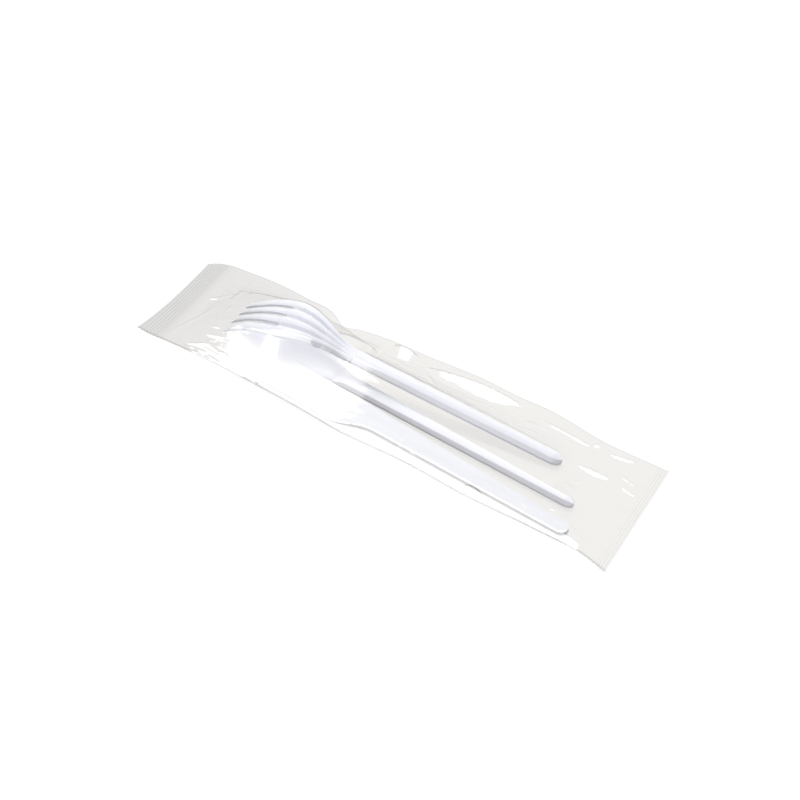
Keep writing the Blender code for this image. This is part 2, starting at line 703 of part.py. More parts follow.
def main():
    clear_scene()
    length = KNIFE_LENGTH * math.cos(KNIFE_YAW) + HEAD_SLACK + HANDLE_SLACK + HEAD_SEAL + HANDLE_SEAL
    head_end = -length / 2
    handle_end = length / 2
    cutlery = make_cutlery(handle_end - HANDLE_SEAL - HANDLE_SLACK)
    make_film(cutlery, head_end, handle_end)


main()
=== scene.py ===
"""The looks of the cutlery set: white moulded plastic in a clear, glossy, crimped film wrapper."""

import math

import bmesh
import bpy
import numpy as np
from mathutils import Matrix, Vector
from mathutils.bvhtree import BVHTree


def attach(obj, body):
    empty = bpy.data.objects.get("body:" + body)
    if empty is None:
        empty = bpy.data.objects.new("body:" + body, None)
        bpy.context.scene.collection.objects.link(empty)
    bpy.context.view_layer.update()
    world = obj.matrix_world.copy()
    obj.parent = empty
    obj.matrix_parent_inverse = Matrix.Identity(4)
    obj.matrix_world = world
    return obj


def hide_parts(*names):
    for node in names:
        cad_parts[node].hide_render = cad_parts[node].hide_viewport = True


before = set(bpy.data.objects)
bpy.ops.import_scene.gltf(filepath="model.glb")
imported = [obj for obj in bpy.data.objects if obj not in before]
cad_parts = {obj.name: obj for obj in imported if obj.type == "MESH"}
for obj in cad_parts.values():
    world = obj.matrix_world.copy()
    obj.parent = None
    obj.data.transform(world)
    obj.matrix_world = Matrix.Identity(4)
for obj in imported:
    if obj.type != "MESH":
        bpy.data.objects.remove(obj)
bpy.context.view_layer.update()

MM = 0.001
RAY_START = 0.1               # how far above or below the table the rays at the cutlery start

# Camera, worked out from the photograph
CAMERA_AZIMUTH = math.radians(31.84)
CAMERA_ELEVATION = math.radians(50.5)
CAMERA_DISTANCE = 0.720
CAMERA_LENS = 73.06
CAMERA_TARGET = Vector((0.000944, 0.002339, 0.0))

# Studio
FLOOR_COLOUR = 0.14
FLOOR_COLOUR_VARIES = 0.005   # to either side
FLOOR_GLOW = 0.91             # what the floor adds where it is seen, so that it shows as white
FLOOR_HALF = 1.6              # half the floor's side
WORLD_LEVEL = 0.87            # the world's light; where it is seen it shows as white
KEY_DIRECTION = (-0.27, 0.56, 0.78)
KEY_DISTANCE = 1.2
KEY_SIZE = (1.0, 0.8)
KEY_POWER = 11.5
SHEEN_DISTANCE = 1.0
SHEEN_LEVEL = 3.1             # radiance of the lamps that only glosses mirror

# Lamps that only glosses mirror: name, direction, its upper side's direction, width and length (m)
SHEEN_LAMPS = [
    ("front_sheen", (-0.15, -0.68, 0.74), (0, 0.74, 0.67), (1.2, 1.86)),
    ("left_sheen", (-0.72, -0.45, 0.55), (0, 1, 0), (0.62, 0.8)),
]

# Plastics: the darker and the lighter tone of each piece, between which its tone varies at random. All
# three are one white plastic: the spoon's lighter tones are painted light where it lies in shade under
# the fork, and the fork's darker tones are painted shade.
PLASTIC_TONES_WITH_PAINTED_LIGHT_AND_SHADE = {"fork": ((0.805, 0.815, 0.880), (0.840, 0.850, 0.908)),
            "spoon": ((0.875, 0.885, 0.950), (0.905, 0.913, 0.972)),
            "knife": ((0.830, 0.840, 0.890), (0.865, 0.873, 0.918))}

PLASTIC_STREAKS = (30.0, 260.0, 260.0)
PLASTIC_APART = 0.13          # how much the streaks' scale grows from piece to piece
PLASTIC_ROUGHNESS = (0.30, 0.42)
PLASTIC_IOR = 1.42
PLASTIC_PASSES = 0.4          # the share of light that the plastic lets through to what lies under it

# Creases between the fork's ribs
RIBS_END = -40.0 * MM         # where they end, along the pack
CREASE_REACH = 1.0 * MM       # how far to each side a crease is felt
CREASE_DEEPER = 5.0           # how much deeper than in the CAD part
CREASE_MOST = 0.30 * MM       # the deepest hollow in the CAD part that counts
FORK_WALL = 0.5 * MM          # the plastic that is left under a crease
FORK_TOP_WITHIN = 0.02 * MM   # a vertex this close to the fork's top side belongs to it
FORK_DIVISIONS = 2            # how often the edges of its head are halved
FORK_SHARP = math.radians(50)  # an edge of the fork bent by more than this is sharp

# Film
CLEARANCE = 0.30 * MM         # from the cutlery's surface to the film
FLOOR_GAP = 0.06 * MM         # the film's underside above the table
STEEPEST = 0.42               # the steepest the film falls along its length
MIDDLE_STATIONS = 420         # along the pack between its seals
ACROSS_TOP = 150              # points across its top side, and across its underside
ACROSS_UNDER = 30
ACROSS_EVENLY = 0.7           # shares of even spacing and of spacing that closes up at both edges
ACROSS_CLOSING = 0.3
HEAD_SEAL_IN = -111.0 * MM    # where each end seal begins
HEAD_END = -120.0 * MM
HANDLE_SEAL_IN = 114.6 * MM
HANDLE_END = 119.9 * MM
CRIMP_PITCH = 1.3 * MM
CRIMP_HEIGHT = 0.20 * MM
CRIMP_STEPS = 8               # stations in one crimp
SAG_HEADS = 1.2               # how the film hangs between two pieces, 1 being straight: over their heads
SAG_HANDLES = 1.05            # over their handles
HANDLES_FROM = (-48 * MM, -30 * MM)
SAG_NEAR = 1.0                # and out to the near and the far long edge
SAG_FAR = 3.2
EDGE_CURL = 2.6               # how the near edge's height dies out across the pack, 1 being straight
DRAPE_PASSES = 4              # how often the draped film is smoothed
DRAPE_ADDED = 0.25 * MM       # the film's height above its drape, away from its long edges
DRAPE_FROM = (12 * MM, 10 * MM)     # how far from the head and the handle seal the drape is full
EDGE_POWER = 8                # how narrow the strip is along each long edge that has no folds
EDGE_FADE = 6                 # how fast the folds come up beside that strip
HELD_SHARE = 0.1              # the share of a fold's height that is left over the cutlery
HELD_PASSES = 3               # how often the change to that share is smoothed
FOLD_SEED = 7
FOLD_ENDS = 3                 # how suddenly a fold dies out at its ends
LEAST_WIDTH = 1e-6            # of a fold, where it has died out
FOLDS_FROM = 2 * MM           # from the head seal to where the folds have their full height
CRIMP_FADE = 0.8 * MM         # the length inside each seal over which its crimps die out
LEAST_HEIGHT = 0.15 * MM      # of the film's top side above its underside's lowest height
UNDER_RISE = (8.0 * MM, 22.0 * MM)  # from the near and far edge to where the underside is flat
UNDER_LEVELS = (-4 * MM, 14 * MM)   # from the head seal: where it starts to go down, and is flat
UNDER_LOWER = 0.12 * MM       # the underside below the long edges' height, where it rises to them
# The faces across the folded far edge get a darker tint: painted shade for the dark line the fold shows
EDGE_FACES = 2                # faces across the dark line where the film is folded at its far edge
SEAM = (-4.0 * MM, 5.0 * MM)  # the lapped seam on the underside, across the pack
SEAM_HEIGHT = 0.2 * MM
FILM_RIPPLES = (120.0, 260.0, 120.0)
FILM_ROUGHNESS = 0.07
FILM_MIRROR = 0.09            # the share of light that the film mirrors where it is seen head on
FILM_MIRROR_SLANT = 0.4       # and where it is seen along its surface
FILM_MIRROR_POWER = 5.0       # how late the second comes up as the film slants away
TO_LAMPS = (0.985, 0.985, 0.98)     # what the film lets through of the lamps' light

# How dark the film gets with its slant to the view: 0 is head on
FILM_SLANT = [(0.25, (1.0, 1.0, 1.0)), (0.50, (0.965, 0.965, 0.965)),
              (0.75, (0.87, 0.87, 0.875)), (1.0, (0.66, 0.66, 0.67))]

# The film's tints from the head end, 0, to the handle end, 1: its own grey tint, made darker at the head
# end as painted shade of the curled head seal and of the crumpled film beside it
TOP_TINT_AND_SEAL_SHADE = [(0.0, (0.93, 0.93, 0.93)), (0.035, (0.93, 0.93, 0.93)),
            (0.05, (0.975, 0.972, 0.968)), (1.0, (0.975, 0.972, 0.968))]
# Along the folded far edge: a darker tint painted there as shade
EDGE_TINT_AND_PAINTED_SHADE = [(0.0, (0.86, 0.86, 0.865)), (0.97, (0.86, 0.86, 0.865)), (1.0, (0.93, 0.93, 0.93))]
UNDER_TINT_AND_PAINTED_SHADE = [(0.0, (0.73, 0.725, 0.72)), (0.035, (0.75, 0.742, 0.735)),
              (0.05, (0.790, 0.783, 0.770)), (0.24, (0.830, 0.823, 0.810)),
              (0.34, (0.890, 0.880, 0.862)), (1.0, (0.890, 0.880, 0.862))]

# The long edges of the flattened film: place along the pack, place across it, height (mm)
FAR_EDGE = [(-120, 24.5, 1.4), (-116, 27.4, 1.3), (-111, 29.2, 1.3), (-100, 30.2, 1.6),
            (-86, 30.6, 2.4), (-66, 29.2, 3.4), (-50.0, 27.6, 3.2), (-44.5, 25.6, 0.7),
            (-37, 27.6, 0.6), (-28, 29.2, 0.6), (0, 30.6, 0.6), (26, 32.0, 0.8), (45, 31.4, 0.7),
            (60, 31.8, 0.7), (90, 28.6, 0.6), (106, 28.7, 0.5), (120, 29.1, 0.5)]
NEAR_EDGE = [(-120, -29.3, 7.2), (-115, -28.0, 4.6), (-110, -26.4, 2.6), (-100, -25.4, 1.8),
             (-80, -25.6, 3.0), (-55, -26.3, 3.0), (-37, -26.8, 2.6), (-24, -27.6, 2.4),
             (-13, -28.2, 2.0), (20, -27.3, 1.6), (54, -28.8, 1.4), (85, -28.1, 1.0),
             (108, -28.6, 0.5), (120, -31.5, 0.5)]

# Folds in the film: points along each, its height, and how far it slopes to its near and far side (mm)
FOLDS = [
    ([(-18, 27.6), (-4, 27.2)], 3.2, 6.0, 1.2),
    ([(0, 23.8), (14, 24.8), (28, 26.6), (50, 27.4)], 3.4, 6.2, 1.2),
    ([(0.5, 24.2), (5, 19), (12, 14.5)], 0.7, 1.4, 1.4),
    ([(59, 24.9), (87, 23.0)], 0.84, 2.0, 0.9),
    ([(92, 23.4), (107, 25.8)], 0.70, 1.7, 0.8),
    ([(84, 11.1), (102, 11.9)], 1.05, 2.6, 0.9),
    ([(102, 16.5), (115, 13.0)], 0.60, 1.5, 1.0),
    ([(113.6, 6.4), (113.2, 0.0)], 0.35, 0.8, 0.8),
    ([(-107, 6), (-101, 8.5), (-94.8, 13.4)], 1.0, 1.8, 1.6),
    ([(-109.7, -23.0), (-105.2, -10.8), (-101.2, -3.9), (-99.2, 2.1)], 0.8, 1.4, 1.2),
    ([(-86, -20.0), (-60, -22.6), (-30, -25.0)], 0.45, 0.9, 1.2),
    ([(-13.5, -25.0), (-9, -24.0), (-4.0, -26.4)], 0.8, 1.6, 1.4),
    ([(48, -26.6), (54, -25.4), (62, -26.8)], 0.7, 1.6, 1.2),
    ([(-98, -22.0), (-88, -19.0), (-79, -21.5)], 0.9, 2.0, 1.4),
]

# Bands of short folds: how many, where along and across the pack (mm), and how much they turn (rad)
FOLD_BANDS = [
    (16, (-100, 112), (20, 27), 0.16),
    (34, (-100, 112), (-27, -20), 0.16),
    (40, (-110, -84), (-24, 27), 0.9),
    (22, (84, 113), (-26, 27), 0.7),
    (16, (-30, 84), (14, 26), 0.25),
]
SHORT_LENGTH = (4, 15)        # of a short fold (mm)
SHORT_WIDTH = (0.7, 1.8)      # how far it slopes to its near side (mm)
SHORT_HEIGHT = (0.15, 0.42)   # its height, as a share of that width
SHORT_FAR_SIDE = 0.8          # and how far it slopes to its far side, as a share of it


def placed(name, data):
    item = bpy.data.objects.new(name, data)
    bpy.context.scene.collection.objects.link(item)
    return item


def tree_of(mesh):
    return BVHTree.FromPolygons([v.co for v in mesh.vertices], [p.vertices for p in mesh.polygons])


def camera():
    data = bpy.data.cameras.new("camera")
    data.sensor_width = 36.0
    data.lens = CAMERA_LENS
    data.clip_start = 0.01
    back = Vector((math.sin(CAMERA_AZIMUTH) * math.cos(CAMERA_ELEVATION),
                   -math.cos(CAMERA_AZIMUTH) * math.cos(CAMERA_ELEVATION),
                   math.sin(CAMERA_ELEVATION)))
    item = placed("camera", data)
    item.location = CAMERA_TARGET + back * CAMERA_DISTANCE
    item.rotation_euler = back.to_track_quat("Z", "Y").to_euler()
    bpy.context.scene.camera = item


# Materials

def new_material(name):
    material = bpy.data.materials.new(name)
    material.use_nodes = True
    material.node_tree.nodes.clear()
    return material, material.node_tree.nodes, material.node_tree.links


def noise(nodes, links, vector, scale, detail=2.0):
    node = nodes.new("ShaderNodeTexNoise")
    node.inputs["Scale"].default_value = scale
    node.inputs["Detail"].default_value = detail
    links.new(vector, node.inputs["Vector"])
    return node.outputs["Fac"]


def ramp(nodes, links, value, stops):
    node = nodes.new("ShaderNodeValToRGB")
    elements = node.color_ramp.elements
    while len(elements) < len(stops):
        elements.new(0.5)
    for element, (place, colour) in zip(elements, stops):
        element.position = place
        element.color = (*colour, 1.0)
    links.new(value, node.inputs["Fac"])
    return node.outputs["Color"]


def scaled(nodes, links, vector, scale):
    node = nodes.new("ShaderNodeMapping")
    node.inputs["Scale"].default_value = scale
    links.new(vector, node.inputs["Vector"])
    return node.outputs["Vector"]


def between(nodes, links, value, low, high, start=0.0, end=1.0):
    node = nodes.new("ShaderNodeMapRange")
    node.inputs["From Min"].default_value = start
    node.inputs["From Max"].default_value = end
    node.inputs["To Min"].default_value = low
    node.inputs["To Max"].default_value = high
    links.new(value, node.inputs["Value"])
    return node.outputs["Result"]


def bumped(nodes, links, height, strength, distance):
    node = nodes.new("ShaderNodeBump")
    node.inputs["Strength"].default_value = strength
    node.inputs["Distance"].default_value = distance
    links.new(height, node.inputs["Height"])
    return node.outputs["Normal"]


def multiplied(nodes, links, first, second):
    node = nodes.new("ShaderNodeMix")
    node.data_type = "RGBA"
    node.blend_type = "MULTIPLY"
    node.inputs["Factor"].default_value = 1.0
    links.new(first, node.inputs["A"])
    links.new(second, node.inputs["B"])
    return node.outputs["Result"]


def seen_directly(nodes, links):
    """1 for what the camera sees, also in a gloss or through a clear piece, and 0 for other light."""
    path = nodes.new("ShaderNodeLightPath")
    value = path.outputs["Is Camera Ray"]
    for name in ("Is Glossy Ray", "Is Transmission Ray"):
        node = nodes.new("ShaderNodeMath")
        node.operation = "MAXIMUM"
        links.new(value, node.inputs[0])
        links.new(path.outputs[name], node.inputs[1])
        value = node.outputs["Value"]
    return value


def plastic(name, seed, dark, light):
    """White moulded polystyrene, with faint flow marks along it and a fine satin grain."""
    material, nodes, links = new_material(name)
    place = nodes.new("ShaderNodeTexCoord").outputs["Object"]
    flow = scaled(nodes, links, place, PLASTIC_STREAKS)
    tone = noise(nodes, links, flow, scale=1.0 + PLASTIC_APART * seed, detail=3.0)
    shader = nodes.new("ShaderNodeBsdfPrincipled")
    # dark and light carry painted light for the spoon and painted shade for the fork
    colour = ramp(nodes, links, tone, [(0.30, dark), (0.70, light)])
    links.new(colour, shader.inputs["Base Color"])
    links.new(between(nodes, links, tone, *PLASTIC_ROUGHNESS), shader.inputs["Roughness"])
    grain = noise(nodes, links, place, scale=900.0)
    normal = bumped(nodes, links, grain, strength=0.08, distance=0.05 * MM)
    links.new(normal, shader.inputs["Normal"])
    shader.inputs["IOR"].default_value = PLASTIC_IOR
    through = nodes.new("ShaderNodeBsdfTransparent")
    mix = nodes.new("ShaderNodeMixShader")
    shadow = nodes.new("ShaderNodeLightPath").outputs["Is Shadow Ray"]
    links.new(between(nodes, links, shadow, low=0.0, high=PLASTIC_PASSES), mix.inputs["Fac"])
    links.new(shader.outputs["BSDF"], mix.inputs[1])
    links.new(through.outputs["BSDF"], mix.inputs[2])
    out = nodes.new("ShaderNodeOutputMaterial")
    links.new(mix.outputs["Shader"], out.inputs["Surface"])
    return material


def film_material(name, stops):
    """Clear film: tinted along the pack by the stops, which also hold painted shade, darker where it
    slants away, and glossy.
    """
    material, nodes, links = new_material(name)
    place = nodes.new("ShaderNodeTexCoord").outputs["Object"]
    split = nodes.new("ShaderNodeSeparateXYZ")
    links.new(place, split.inputs["Vector"])
    along = between(nodes, links, split.outputs["X"], 0.0, 1.0, start=HEAD_END, end=HANDLE_END)
    facing = nodes.new("ShaderNodeLayerWeight")
    facing.inputs["Blend"].default_value = 0.5
    slant = ramp(nodes, links, facing.outputs["Facing"], FILM_SLANT)
    clear = nodes.new("ShaderNodeBsdfTransparent")
    tint_and_shade = ramp(nodes, links, along, stops)
    links.new(multiplied(nodes, links, tint_and_shade, slant), clear.inputs["Color"])
    shine = nodes.new("ShaderNodeBsdfPrincipled")
    shine.inputs["Base Color"].default_value = (1.0, 1.0, 1.0, 1.0)
    shine.inputs["Metallic"].default_value = 1.0
    shine.inputs["Roughness"].default_value = FILM_ROUGHNESS
    stretched = scaled(nodes, links, place, FILM_RIPPLES)
    ripple = noise(nodes, links, stretched, scale=1.0, detail=3.0)
    normal = bumped(nodes, links, ripple, strength=0.3, distance=0.25 * MM)
    links.new(normal, shine.inputs["Normal"])
    steep = nodes.new("ShaderNodeMath")
    steep.operation = "POWER"
    links.new(facing.outputs["Facing"], steep.inputs[0])
    steep.inputs[1].default_value = FILM_MIRROR_POWER
    mix = nodes.new("ShaderNodeMixShader")
    mirrored = between(nodes, links, steep.outputs["Value"], FILM_MIRROR, FILM_MIRROR_SLANT)
    links.new(mirrored, mix.inputs["Fac"])
    links.new(clear.outputs["BSDF"], mix.inputs[1])
    links.new(shine.outputs["BSDF"], mix.inputs[2])
    open_to_lamps = nodes.new("ShaderNodeBsdfTransparent")
    open_to_lamps.inputs["Color"].default_value = (*TO_LAMPS, 1.0)
    choose = nodes.new("ShaderNodeMixShader")
    links.new(nodes.new("ShaderNodeLightPath").outputs["Is Shadow Ray"], choose.inputs["Fac"])
    links.new(mix.outputs["Shader"], choose.inputs[1])
    links.new(open_to_lamps.outputs["BSDF"], choose.inputs[2])
    out = nodes.new("ShaderNodeOutputMaterial")
    links.new(choose.outputs["Shader"], out.inputs["Surface"])
    return material


def floor_material():
    """A pale floor that shows as white, and is still darkened by the pack's shadow."""
    material, nodes, links = new_material("floor_looks")
    place = nodes.new("ShaderNodeTexCoord").outputs["Object"]
    tone = noise(nodes, links, place, scale=8.0)
    base = nodes.new("ShaderNodeBsdfDiffuse")
    level = between(nodes, links, tone,
                    FLOOR_COLOUR - FLOOR_COLOUR_VARIES, FLOOR_COLOUR + FLOOR_COLOUR_VARIES)
    links.new(level, base.inputs["Color"])
    glow = nodes.new("ShaderNodeEmission")
    seen = seen_directly(nodes, links)
    links.new(between(nodes, links, seen, low=0.0, high=FLOOR_GLOW), glow.inputs["Strength"])
    both = nodes.new("ShaderNodeAddShader")
    links.new(base.outputs["BSDF"], both.inputs[0])
    links.new(glow.outputs["Emission"], both.inputs[1])
    out = nodes.new("ShaderNodeOutputMaterial")
    links.new(both.outputs["Shader"], out.inputs["Surface"])
    return material


# The film's shape

def edge_at(points, x):
    """A smooth curve through the points of a long edge: place across and height at a place along."""
    table = np.array(points) * MM
    stations = np.clip(x, table[0, 0], table[-1, 0])
    slopes = np.gradient(table[:, 1:], table[:, 0], axis=0)
    i = np.clip(np.searchsorted(table[:, 0], stations) - 1, 0, len(table) - 2)
    span = (table[i + 1, 0] - table[i, 0])[:, None]
    t = ((stations - table[i, 0]) / span[:, 0])[:, None]
    a, b = table[i, 1:], table[i + 1, 1:]
    return ((2 * t**3 - 3 * t**2 + 1) * a + (t**3 - 2 * t**2 + t) * span * slopes[i]
            + (3 * t**2 - 2 * t**3) * b + (t**3 - t**2) * span * slopes[i + 1])


def step(value, start, end):
    part = np.clip((value - start) / (end - start), 0.0, 1.0)
    return part * part * (3 - 2 * part)


def stations_along():
    """Places along the pack, close together in the crimped seals."""
    fine = CRIMP_PITCH / CRIMP_STEPS
    head = np.arange(HEAD_END, HEAD_SEAL_IN, fine)
    middle = np.linspace(HEAD_SEAL_IN, HANDLE_SEAL_IN, MIDDLE_STATIONS, endpoint=False)
    handle = np.append(np.arange(HANDLE_SEAL_IN, HANDLE_END - fine / 2, fine), HANDLE_END)
    return np.concatenate([head, middle, handle])


def contents_height(xs, ys, above=True):
    """The height of the cutlery's top, or of its underside, over a grid; 0 or infinite off it."""
    heights = np.zeros(xs.shape) if above else np.full(xs.shape, np.inf)
    start, way = (RAY_START, Vector((0, 0, -1))) if above else (-RAY_START, Vector((0, 0, 1)))
    kept = max if above else min
    for name in ("fork", "spoon", "knife"):
        tree = tree_of(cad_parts[name].data)
        for i in range(xs.shape[0]):
            for j in range(xs.shape[1]):
                hit = tree.ray_cast(Vector((xs[i, j], ys[i, j], start)), way)[0]
                if hit is not None:
                    heights[i, j] = kept(heights[i, j], hit.z)
    return heights


def widened(heights):
    """The heights spread by one grid step to every side, so that the film clears the cutlery."""
    out = heights.copy()
    out[1:] = np.maximum(out[1:], heights[:-1])
    out[:-1] = np.maximum(out[:-1], heights[1:])
    side = out.copy()
    out[:, 1:] = np.maximum(out[:, 1:], side[:, :-1])
    out[:, :-1] = np.maximum(out[:, :-1], side[:, 1:])
    return out


def hull_over(ys, heights, near_z, far_z):
    """The points that hold the taut film over one station, from its near edge to its far edge."""
    points = list(zip(ys, heights))
    points[0] = (ys[0], near_z)
    points[-1] = (ys[-1], far_z)
    hull = []
    for p in points:
        while len(hull) > 1:
            (ay, az), (by, bz) = hull[-2], hull[-1]
            if (by - ay) * (p[1] - az) - (bz - az) * (p[0] - ay) < 0:
                break
            hull.pop()
        hull.append(p)
    return hull


def hung(ys, hull, sag):
    """The film's height between the points that hold it, where it hangs towards the lower one."""
    out = np.interp(ys, [p[0] for p in hull], [p[1] for p in hull])
    powers = [sag] * (len(hull) - 1)
    powers[-1] = SAG_FAR
    powers[0] = SAG_NEAR
    for power, (y0, z0), (y1, z1) in zip(powers, hull[:-1], hull[1:]):
        inside = (ys > y0) & (ys < y1)
        t = (ys[inside] - y0) / (y1 - y0)
        rise = t if z1 > z0 else 1 - t
        out[inside] = min(z0, z1) + abs(z1 - z0) * rise ** power
    return out


def smoothed(grid, passes):
    for _ in range(passes):
        grid[1:-1] = (grid[:-2] + 2 * grid[1:-1] + grid[2:]) / 4
        grid[:, 1:-1] = (grid[:, :-2] + 2 * grid[:, 1:-1] + grid[:, 2:]) / 4
    return grid


def draped_heights(along, ys, supports, near_z, far_z):
    """The film drawn over its contents, falling no steeper than STEEPEST along the pack."""
    reach = supports.copy()
    fall = STEEPEST * np.diff(along)
    for i in range(1, len(reach)):
        reach[i] = np.maximum(reach[i], reach[i - 1] - fall[i - 1])
    for i in range(len(reach) - 2, -1, -1):
        reach[i] = np.maximum(reach[i], reach[i + 1] - fall[i])
    sags = SAG_HEADS + (SAG_HANDLES - SAG_HEADS) * step(along, *HANDLES_FROM)
    film = np.array([hung(ys[i], hull_over(ys[i], reach[i], near_z[i], far_z[i]), sags[i])
                     for i in range(len(reach))])
    return np.maximum(smoothed(film, DRAPE_PASSES), supports)


def fold_relief(xs, ys, points, height, near_width, far_width):
    """A fold: a ridge along a line, sloping away to both sides and dying out at its ends."""
    points = np.array(points) * MM
    lengths = np.linalg.norm(np.diff(points, axis=0), axis=1)
    nearest = np.full(xs.shape, np.inf)
    side = np.zeros(xs.shape)
    share = np.zeros(xs.shape)
    walked = 0.0
    for start, end, length in zip(points[:-1], points[1:], lengths):
        way = (end - start) / length
        from_x, from_y = xs - start[0], ys - start[1]
        t = np.clip(from_x * way[0] + from_y * way[1], 0.0, length)
        off_x, off_y = from_x - t * way[0], from_y - t * way[1]
        distance = np.hypot(off_x, off_y)
        closer = distance < nearest
        nearest = np.where(closer, distance, nearest)
        side = np.where(closer, way[0] * off_y - way[1] * off_x, side)
        share = np.where(closer, (walked + t) / lengths.sum(), share)
        walked += length
    fade = np.clip(1 - np.abs(2 * share - 1) ** FOLD_ENDS, 0.0, 1.0)
    width = np.where(side > 0, far_width, near_width) * MM * fade + LEAST_WIDTH
    return height * MM * fade * np.clip(1 - nearest / width, 0.0, 1.0)


def small_folds(rng):
    """Short folds: along both long edges, over both ends, and a few on the far side."""
    folds = []
    for count, xs, ys, turn in FOLD_BANDS:
        for _ in range(count):
            x, y = rng.uniform(*xs), rng.uniform(*ys)
            length, angle = rng.uniform(*SHORT_LENGTH), rng.normal(0.0, turn)
            dx, dy = length * math.cos(angle), length * math.sin(angle)
            width = rng.uniform(*SHORT_WIDTH)
            height = width * rng.uniform(*SHORT_HEIGHT)
            folds.append(([(x, y), (x + dx, y + dy)], height, width, width * SHORT_FAR_SIDE))
    return folds


def between_edges(near, far, share):
    """Places across the pack, from the near long edge to the far one."""
    return near[:, :1] + (far[:, :1] - near[:, :1]) * share[None, :]


def edge_heights(near, far, share):
    """The heights between the two long edges with nothing under the film."""
    return far[:, 1:] + (near[:, 1:] - far[:, 1:]) * (1 - share[None, :]) ** EDGE_CURL


def crimps(along):
    """The height of the crimps along the pack, in the two seals."""
    waves = CRIMP_HEIGHT * np.cos(2 * np.pi * (along - HEAD_END) / CRIMP_PITCH)
    return waves * np.maximum(1 - step(along, HEAD_SEAL_IN - CRIMP_FADE, HEAD_SEAL_IN),
                              step(along, HANDLE_SEAL_IN, HANDLE_SEAL_IN + CRIMP_FADE))


def top_side(along, near, far, crimp):
    """Places across the pack and heights of the film's top side."""
    even = np.linspace(0.0, 1.0, ACROSS_TOP)
    share = ACROSS_EVENLY * even + ACROSS_CLOSING * (0.5 - 0.5 * np.cos(np.pi * even))
    ys = between_edges(near, far, share)
    xs = np.repeat(along[:, None], ACROSS_TOP, axis=1)
    supports = contents_height(xs, ys)
    supports = np.where(supports > 0, widened(supports) + CLEARANCE, 0.0)
    top = draped_heights(along, ys, supports, near[:, 1], far[:, 1])
    edge_plane = edge_heights(near, far, share)
    into = (step(xs, HEAD_SEAL_IN, HEAD_SEAL_IN + DRAPE_FROM[0])
            * (1 - step(xs, HANDLE_SEAL_IN - DRAPE_FROM[1], HANDLE_SEAL_IN)))
    inner = 1 - (2 * share[None, :] - 1) ** EDGE_POWER
    top = edge_plane + (top - edge_plane + DRAPE_ADDED * inner) * into
    relief = np.zeros(xs.shape)
    for fold in FOLDS + small_folds(np.random.default_rng(FOLD_SEED)):
        relief = np.maximum(relief, fold_relief(xs, ys, *fold))
    free = smoothed(np.where(supports > 0, HELD_SHARE, 1.0), HELD_PASSES)
    relief = (relief * free * np.minimum(1.0, EDGE_FADE * inner)
              * step(xs, HEAD_SEAL_IN, HEAD_SEAL_IN + FOLDS_FROM))
    top = np.maximum(top + relief, supports)
    return ys, np.maximum(top + crimp[:, None], FLOOR_GAP + LEAST_HEIGHT)


def underside(along, near, far, crimp):
    """Places across the pack and heights of the film's underside, with its lapped seam."""
    share = np.linspace(0.0, 1.0, ACROSS_UNDER)
    ys = between_edges(near, far, share)
    from_near, from_far = ys - near[:, :1], far[:, :1] - ys
    flat = np.minimum(step(from_near, 0.0, UNDER_RISE[0]), step(from_far, 0.0, UNDER_RISE[1]))
    goes_down, is_flat = (HEAD_SEAL_IN + place for place in UNDER_LEVELS)
    flat = flat * step(along[:, None], goes_down, is_flat)
    seam = SEAM_HEIGHT * ((ys > SEAM[0]) & (ys < SEAM[1]))
    lower = UNDER_LOWER * (np.minimum(from_near, from_far) > 0) * (1 - flat)
    heights = edge_heights(near, far, share) * (1 - flat) + (FLOOR_GAP + seam) * flat - lower
    lowest = contents_height(np.repeat(along[:, None], ACROSS_UNDER, axis=1), ys, above=False)
    heights = np.minimum(heights + crimp[:, None], lowest - CLEARANCE)
    return ys, np.maximum(heights, FLOOR_GAP)


def make_film():
    """The wrapper as one closed tube: a top side, an underside with its seam, and two crimped ends."""
    along = stations_along()
    near, far = edge_at(NEAR_EDGE, along), edge_at(FAR_EDGE, along)
    crimp = crimps(along)
    top_y, top_z = top_side(along, near, far, crimp)
    under_y, under_z = underside(along, near, far, crimp)
    ring = ACROSS_TOP + ACROSS_UNDER - 2
    points = []
    for i, x in enumerate(along):
        points += [(x, top_y[i, j], top_z[i, j]) for j in range(ACROSS_TOP)]
        points += [(x, under_y[i, j], under_z[i, j]) for j in range(ACROSS_UNDER - 2, 0, -1)]
    faces = []
    for i in range(len(along) - 1):
        for j in range(ring):
            k = (j + 1) % ring
            faces.append((i * ring + j, (i + 1) * ring + j, (i + 1) * ring + k, i * ring + k))
    mesh = bpy.data.meshes.new("film")
    mesh.from_pydata(points, [], faces)
    mesh.shade_smooth()
    far_edge = ACROSS_TOP - 1
    for edge in mesh.edges:
        a, b = (corner % ring for corner in edge.vertices)
        edge.use_edge_sharp = a == b == far_edge
    # the top's and the underside's tints are darker towards the head end as painted shade
    mesh.materials.append(film_material("film_top_looks", TOP_TINT_AND_SEAL_SHADE))
    mesh.materials.append(film_material("film_under_looks", UNDER_TINT_AND_PAINTED_SHADE))
    # the edge faces' darker tint is painted shade along the folded far edge
    mesh.materials.append(film_material("film_edge_looks", EDGE_TINT_AND_PAINTED_SHADE))
    top_looks, under_looks, edge_looks = 0, 1, 2
    for face in mesh.polygons:
        across = face.index % ring
        if across >= far_edge:
            face.material_index = under_looks
        elif across >= far_edge - EDGE_FACES:
            face.material_index = edge_looks
        else:
            face.material_index = top_looks
    film = placed("film", mesh)
    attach(film, "root")
    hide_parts("film_wrapper")


# Studio

def area_lamp(name, direction, up, distance, size, energy):
    data = bpy.data.lights.new(name, "AREA")
    data.shape = "RECTANGLE"
    data.size, data.size_y = size
    data.energy = energy
    item = placed(name, data)
    way = Vector(direction).normalized()
    side = Vector(up).cross(way).normalized()
    turn = Matrix((side, way.cross(side), way)).transposed()
    item.matrix_world = Matrix.Translation(way * distance) @ turn.to_4x4()
    item.visible_camera = False
    return item


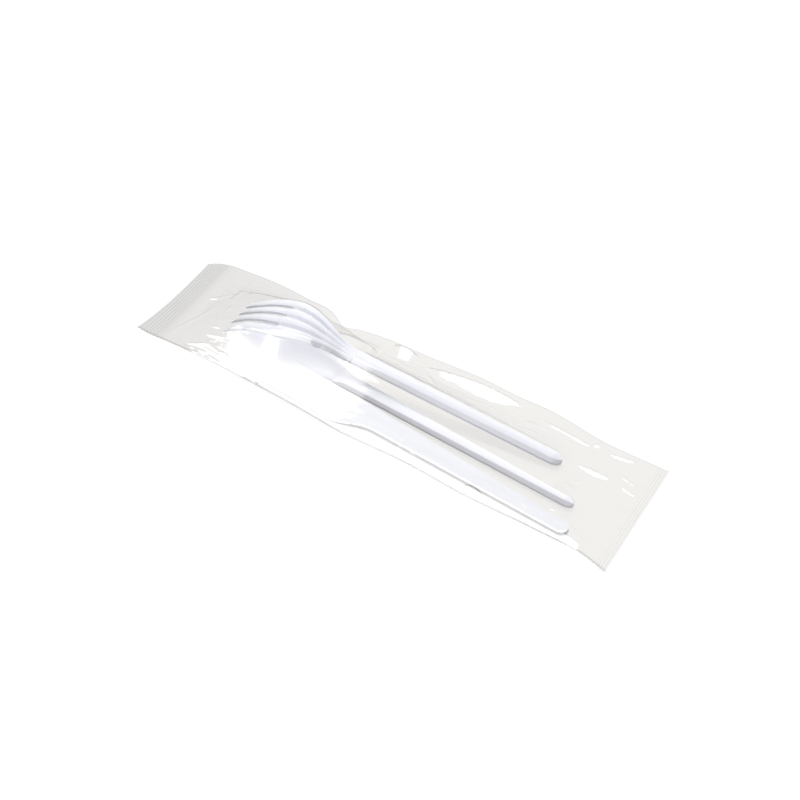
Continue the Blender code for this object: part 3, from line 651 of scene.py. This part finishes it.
def studio():
    mesh = bpy.data.meshes.new("floor")
    corners = [(x * FLOOR_HALF, y * FLOOR_HALF, 0) for x, y in ((-1, -1), (1, -1), (1, 1), (-1, 1))]
    mesh.from_pydata(corners, [], [(0, 1, 2, 3)])
    mesh.materials.append(floor_material())
    floor = placed("floor", mesh)
    key = area_lamp("key", KEY_DIRECTION, (0, 0, 1), KEY_DISTANCE, KEY_SIZE, KEY_POWER)
    key.visible_glossy = False
    for name, direction, up, size in SHEEN_LAMPS:
        power = SHEEN_LEVEL * math.pi * size[0] * size[1]
        sheen = area_lamp(name, direction, up, SHEEN_DISTANCE, size, power)
        sheen.visible_diffuse = False
    world = bpy.data.worlds.new("world")
    bpy.context.scene.world = world
    world.use_nodes = True
    nodes, links = world.node_tree.nodes, world.node_tree.links
    nodes.clear()
    back = nodes.new("ShaderNodeBackground")
    seen = seen_directly(nodes, links)
    links.new(between(nodes, links, seen, low=WORLD_LEVEL, high=1.0), back.inputs["Strength"])
    out = nodes.new("ShaderNodeOutputWorld")
    links.new(back.outputs["Background"], out.inputs["Surface"])
    bpy.context.scene.view_settings.view_transform = "Standard"


# The cutlery

def make_fork():
    """The fork with the creases between its ribs cut deeper than in the CAD part."""
    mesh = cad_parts["fork"].data.copy()
    tree = tree_of(mesh)
    work = bmesh.new()
    work.from_mesh(mesh)
    for _ in range(FORK_DIVISIONS):
        head = [edge for edge in work.edges if min(v.co.x for v in edge.verts) < RIBS_END]
        bmesh.ops.subdivide_edges(work, edges=head, cuts=1, use_grid_fill=True)
    bmesh.ops.triangulate(work, faces=work.faces)
    work.to_mesh(mesh)
    work.free()
    up, down = Vector((0, 0, 1)), Vector((0, 0, -1))
    lowered = []
    for vertex in mesh.vertices:
        x, y, z = vertex.co
        hits = [tree.ray_cast(Vector((x, y + aside, RAY_START)), down)[0]
                for aside in (-CREASE_REACH, 0, CREASE_REACH)]
        if x > RIBS_END or None in hits or abs(hits[1].z - z) > FORK_TOP_WITHIN:
            continue
        hollow = (hits[0].z + hits[2].z) / 2 - z
        lower = tree.ray_cast(Vector((x, y, -RAY_START)), up)[0]
        wanted = z - CREASE_DEEPER * min(max(hollow, 0.0), CREASE_MOST)
        lowered.append((vertex.index, min(z, max(wanted, lower.z + FORK_WALL))))
    for index, z in lowered:
        mesh.vertices[index].co.z = z
    mesh.shade_smooth()
    mesh.set_sharp_from_angle(angle=FORK_SHARP)
    fork = placed("carved_fork", mesh)
    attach(fork, "root")
    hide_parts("fork")


def dress_cutlery():
    # The pieces' different tones are painted light on the spoon and painted shade on the fork, over one
    # white plastic
    for seed, (name, (dark, light)) in enumerate(PLASTIC_TONES_WITH_PAINTED_LIGHT_AND_SHADE.items()):
        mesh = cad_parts[name].data
        mesh.materials.clear()
        mesh.materials.append(plastic(name + "_looks", seed, dark, light))


camera()
studio()
dress_cutlery()
make_fork()
make_film()
